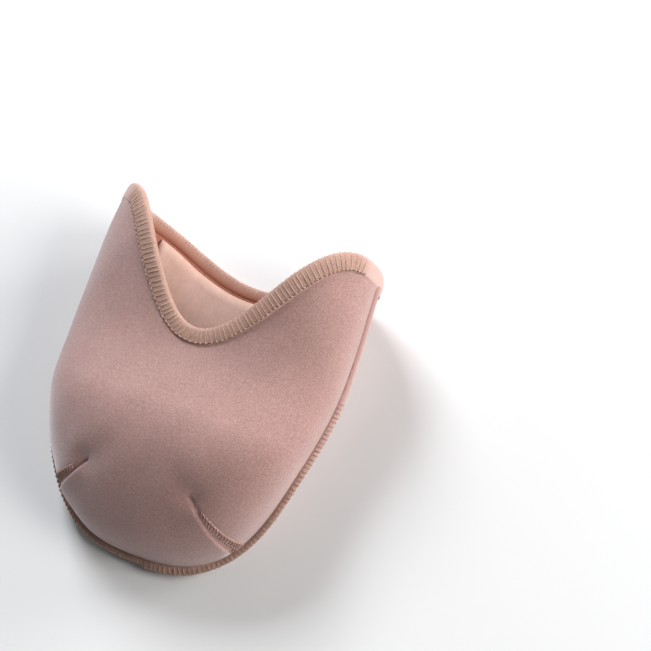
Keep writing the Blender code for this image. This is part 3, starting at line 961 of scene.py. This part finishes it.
def makeFlangeThreads():
    rng = np.random.default_rng(23)
    count = int(flangeRun[-1] / flange["pitch"])
    path = [
        (0.05, 1.0, -1.0), (0.35, 1.08, -0.7), (0.7, 0.95, -0.2), (0.97, 0.45, 0.2),
        (1.03, -0.1, 0.5), (0.9, -0.7, 0.7), (0.5, -1.02, 0.9), (0.1, -0.8, 1.0),
    ]
    bm = bmesh.new()
    for k in range(count):
        run = flangeRun[-1] * (k + 0.5 + rng.uniform(-0.08, 0.08)) / count
        centres = np.array([flangePoint(run + 0.0003 * shift, out, up) for out, up, shift in path])
        radius = flange["threadRadius"] * rng.uniform(0.85, 1.12)
        if centres[3][1] > flange["ribsUpTo"]:
            continue
        ahead = flangePoint(run + 0.0004, 0, 0) - flangePoint(run - 0.0004, 0, 0)
        ahead /= np.linalg.norm(ahead)
        addStrand(bm, centres, np.tile(ahead, (len(path), 1)), radius, 5)
    piece = strandPiece("flangeOverlock", bm, [seamCloth])
    shareUp = piece.data.attributes.new("mouthShare", "FLOAT", "POINT")
    for v in piece.data.vertices:
        shareUp.data[v.index].value = float(ease((v.co.y + originAt - 0.030) / 0.040))
    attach(piece, "root")


makeFlange()
makeFlangeThreads()
print("side seam made")


# ---- dart strips ----
dartStrip = {
    "sections": 44,
    "fade": (0.70, 0.0007),     # from this share on the strip dives under the cloth, by this much at the tip
    "ribsTo": 0.80,
    "tilt": 0.05,
    "beadRows": (-0.2, 0.68),
    "beadRadius": 0.00022,
}


def dartSpots(shares, across, heights, side):
    # points over the dressed cloth: share of the way from foot to tip, metres aside, height over the cloth
    k = np.clip(shares, 0, 1) * (len(dartPoints) - 1)
    a = np.minimum(k.astype(int), len(dartPoints) - 2)
    f = (k - a)[:, None]
    q = dartChart[a] * (1 - f) + dartChart[a + 1] * f
    way = dartAcross[a] * (1 - f) + dartAcross[a + 1] * f
    spot = place("front", slide("front", q, way, across[:, None], 2))
    n = normalsAt("front", spot)
    turned = spot * np.array([side, 1, 1])
    relief = (dartRelief(spot[None]) + softSlack(turned[None], panels["slack"]))[0]
    relief = relief * ease((spot[:, 2] - seamHeight(spot[:, 1])) / 0.004)
    return (spot + n * (relief + heights)[:, None]) * np.array([side, 1, 1])


def dartRow(share, row, side):
    # a row of (share added, share of the half width, height) at one place along the strip
    added, across, height = np.array(row).T
    half = (darts["widthFoot"] * (1 - share) + darts["widthTip"] * share) / 2
    start, most = dartStrip["fade"]
    sunk = most * float(ease((share - start) / (1 - start)))
    return dartSpots(share + added, half * across, height - sunk, side)


def makeDart(name, side, node):
    rng = np.random.default_rng(5)
    profile = [
        (0, -1.05, -0.0004), (0, -0.95, 0.00008), (0, -0.5, 0.00016), (0, 0, 0.0002),
        (0, 0.5, 0.00016), (0, 0.85, 0.00006), (0, 1.0, -0.0003),
    ]
    sections = [dartRow(share, profile, side) for share in np.linspace(0.02, 1.0, dartStrip["sections"])]
    piece = ringedPiece(name + "Strip", np.array(sections), [dartCloth], False)
    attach(piece, "root")
    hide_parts(node)
    bm = bmesh.new()
    count = int(dartLength * dartStrip["ribsTo"] / darts["ribPitch"])
    for k in range(count):
        share = 0.04 + (dartStrip["ribsTo"] - 0.04) * (k + 0.5) / count
        tilt = dartStrip["tilt"] + rng.uniform(-0.012, 0.012)
        rib = [
            (-tilt, -1.0, -0.0002), (-0.7 * tilt, -0.7, 0.00024), (0, 0, 0.00030),
            (0.6 * tilt, 0.6, 0.00024), (0.95 * tilt, 0.95, -0.0002),
        ]
        ahead = np.subtract(*dartRow(share, [(0.03, 0, 0), (-0.03, 0, 0)], side))
        ahead /= np.linalg.norm(ahead)
        addStrand(bm, dartRow(share, rib, side), np.tile(ahead, (5, 1)), darts["ribRadius"], 5)
        # pale beads of the needle's thread, two rows along the strip
        for row in dartStrip["beadRows"]:
            bead = [(-0.011, row, 0.0002), (-0.004, row, 0.00042), (0.004, row, 0.00042), (0.011, row, 0.0002)]
            sideways = np.subtract(*dartRow(share, [(0, row + 0.3, 0), (0, row - 0.3, 0)], side))
            sideways /= np.linalg.norm(sideways)
            addStrand(bm, dartRow(share, bead, side), np.tile(sideways, (4, 1)), dartStrip["beadRadius"], 5, 0.6)
    threads = strandPiece(name + "Overlock", bm, [dartCloth])
    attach(threads, "root")


makeDart("rightDart", 1, "dart_seam_right")
makeDart("leftDart", -1, "dart_seam_left")
print("darts made")


# ---- floor, camera and lights ----
camera = {
    "yaw": 21.73,
    "pitch": -13.55,
    "roll": 24.72,
    "distance": 0.600,
    "pixelsPerMetre": 3356.0,
    "pixels": 651,
    "aim": (0.0, 0.055, 0.012),
    "aimPixel": (203.9, 380.0),
}


def cameraAxes():
    yaw, pitch, roll = (math.radians(camera[k]) for k in ("yaw", "pitch", "roll"))
    back = Vector((math.sin(yaw) * math.cos(pitch), math.sin(pitch), math.cos(yaw) * math.cos(pitch)))
    level = Vector((0, 1, 0)).cross(back).normalized()
    rise = back.cross(level)
    right = level * math.cos(roll) + rise * math.sin(roll)
    up = rise * math.cos(roll) - level * math.sin(roll)
    return back, right, up


lookBack, lookRight, lookUp = cameraAxes()
aim = Vector(camera["aim"]) - Vector((0, originAt, 0))


def placeCamera():
    focal = camera["pixelsPerMetre"] * camera["distance"]
    aside = (camera["aimPixel"][0] - camera["pixels"] / 2) / focal
    raised = (camera["pixels"] / 2 - camera["aimPixel"][1]) / focal
    z = (lookBack + lookRight * aside + lookUp * raised).normalized()
    x = (lookRight - z * lookRight.dot(z)).normalized()
    y = z.cross(x)
    data = bpy.data.cameras.new("photoCamera")
    data.sensor_width = 36
    data.lens = 36 * focal / camera["pixels"]
    data.clip_start = 0.01
    view = bpy.data.objects.new("photoCamera", data)
    bpy.context.scene.collection.objects.link(view)
    spot = aim + lookBack * camera["distance"]
    view.matrix_world = Matrix(((x.x, y.x, z.x, spot.x), (x.y, y.y, z.y, spot.y), (x.z, y.z, z.z, spot.z), (0, 0, 0, 1)))
    bpy.context.scene.camera = view


def addLight(name, direction, strength, size, colour):
    data = bpy.data.lights.new(name, "AREA")
    data.energy = strength * (math.pi * lighting["away"]) ** 2
    data.size = size
    data.color = colour
    lamp = bpy.data.objects.new(name, data)
    bpy.context.scene.collection.objects.link(lamp)
    along = (lookRight * direction[0] + lookUp * direction[1] + lookBack * direction[2]).normalized()
    lamp.location = aim + along * lighting["away"]
    lamp.rotation_euler = along.to_track_quat("Z", "Y").to_euler()


lighting = {
    # direction in the camera's own right, up and back, then strength, size and colour
    "key": ((0.62, 0.12, 0.78), 0.70, 0.50, (1.0, 0.985, 0.97)),
    "side": ((0.88, 0.38, 0.30), 0.85, 0.40, (1.0, 0.99, 0.98)),
    "rim": ((-0.32, 0.92, 0.20), 1.1, 0.40, (0.93, 0.96, 1.0)),
    "leftRim": ((-0.84, 0.50, -0.10), 0.15, 0.45, (0.93, 0.96, 1.0)),
    "fill": ((0.13, -0.78, 0.55), 0.05, 0.50, (1.0, 0.98, 0.97)),
    "away": 1.1,
    "sky": 0.07,
    "floor": (0.76, 0.76, 0.76),
}


def makeStage():
    bm = bmesh.new()
    bmesh.ops.create_grid(bm, x_segments=1, y_segments=1, size=2.0)
    for v in bm.verts:
        v.co.z -= 0.0004
    mesh = bpy.data.meshes.new("paleFloor")
    bm.to_mesh(mesh)
    bm.free()
    made, tree, shader = newMaterial("palePaper", lighting["floor"], 0.9)
    mesh.materials.append(made)
    floor = bpy.data.objects.new("paleFloor", mesh)
    bpy.context.scene.collection.objects.link(floor)
    world = bpy.data.worlds.new("studio")
    world.use_nodes = True
    world.node_tree.nodes["Background"].inputs["Color"].default_value = (1, 1, 1, 1)
    world.node_tree.nodes["Background"].inputs["Strength"].default_value = lighting["sky"]
    bpy.context.scene.world = world
    for name in ("key", "side", "rim", "leftRim", "fill"):
        addLight(name + "Light", *lighting[name])


placeCamera()
makeStage()
bpy.context.scene.view_settings.view_transform = "Standard"
print("camera and lights set")
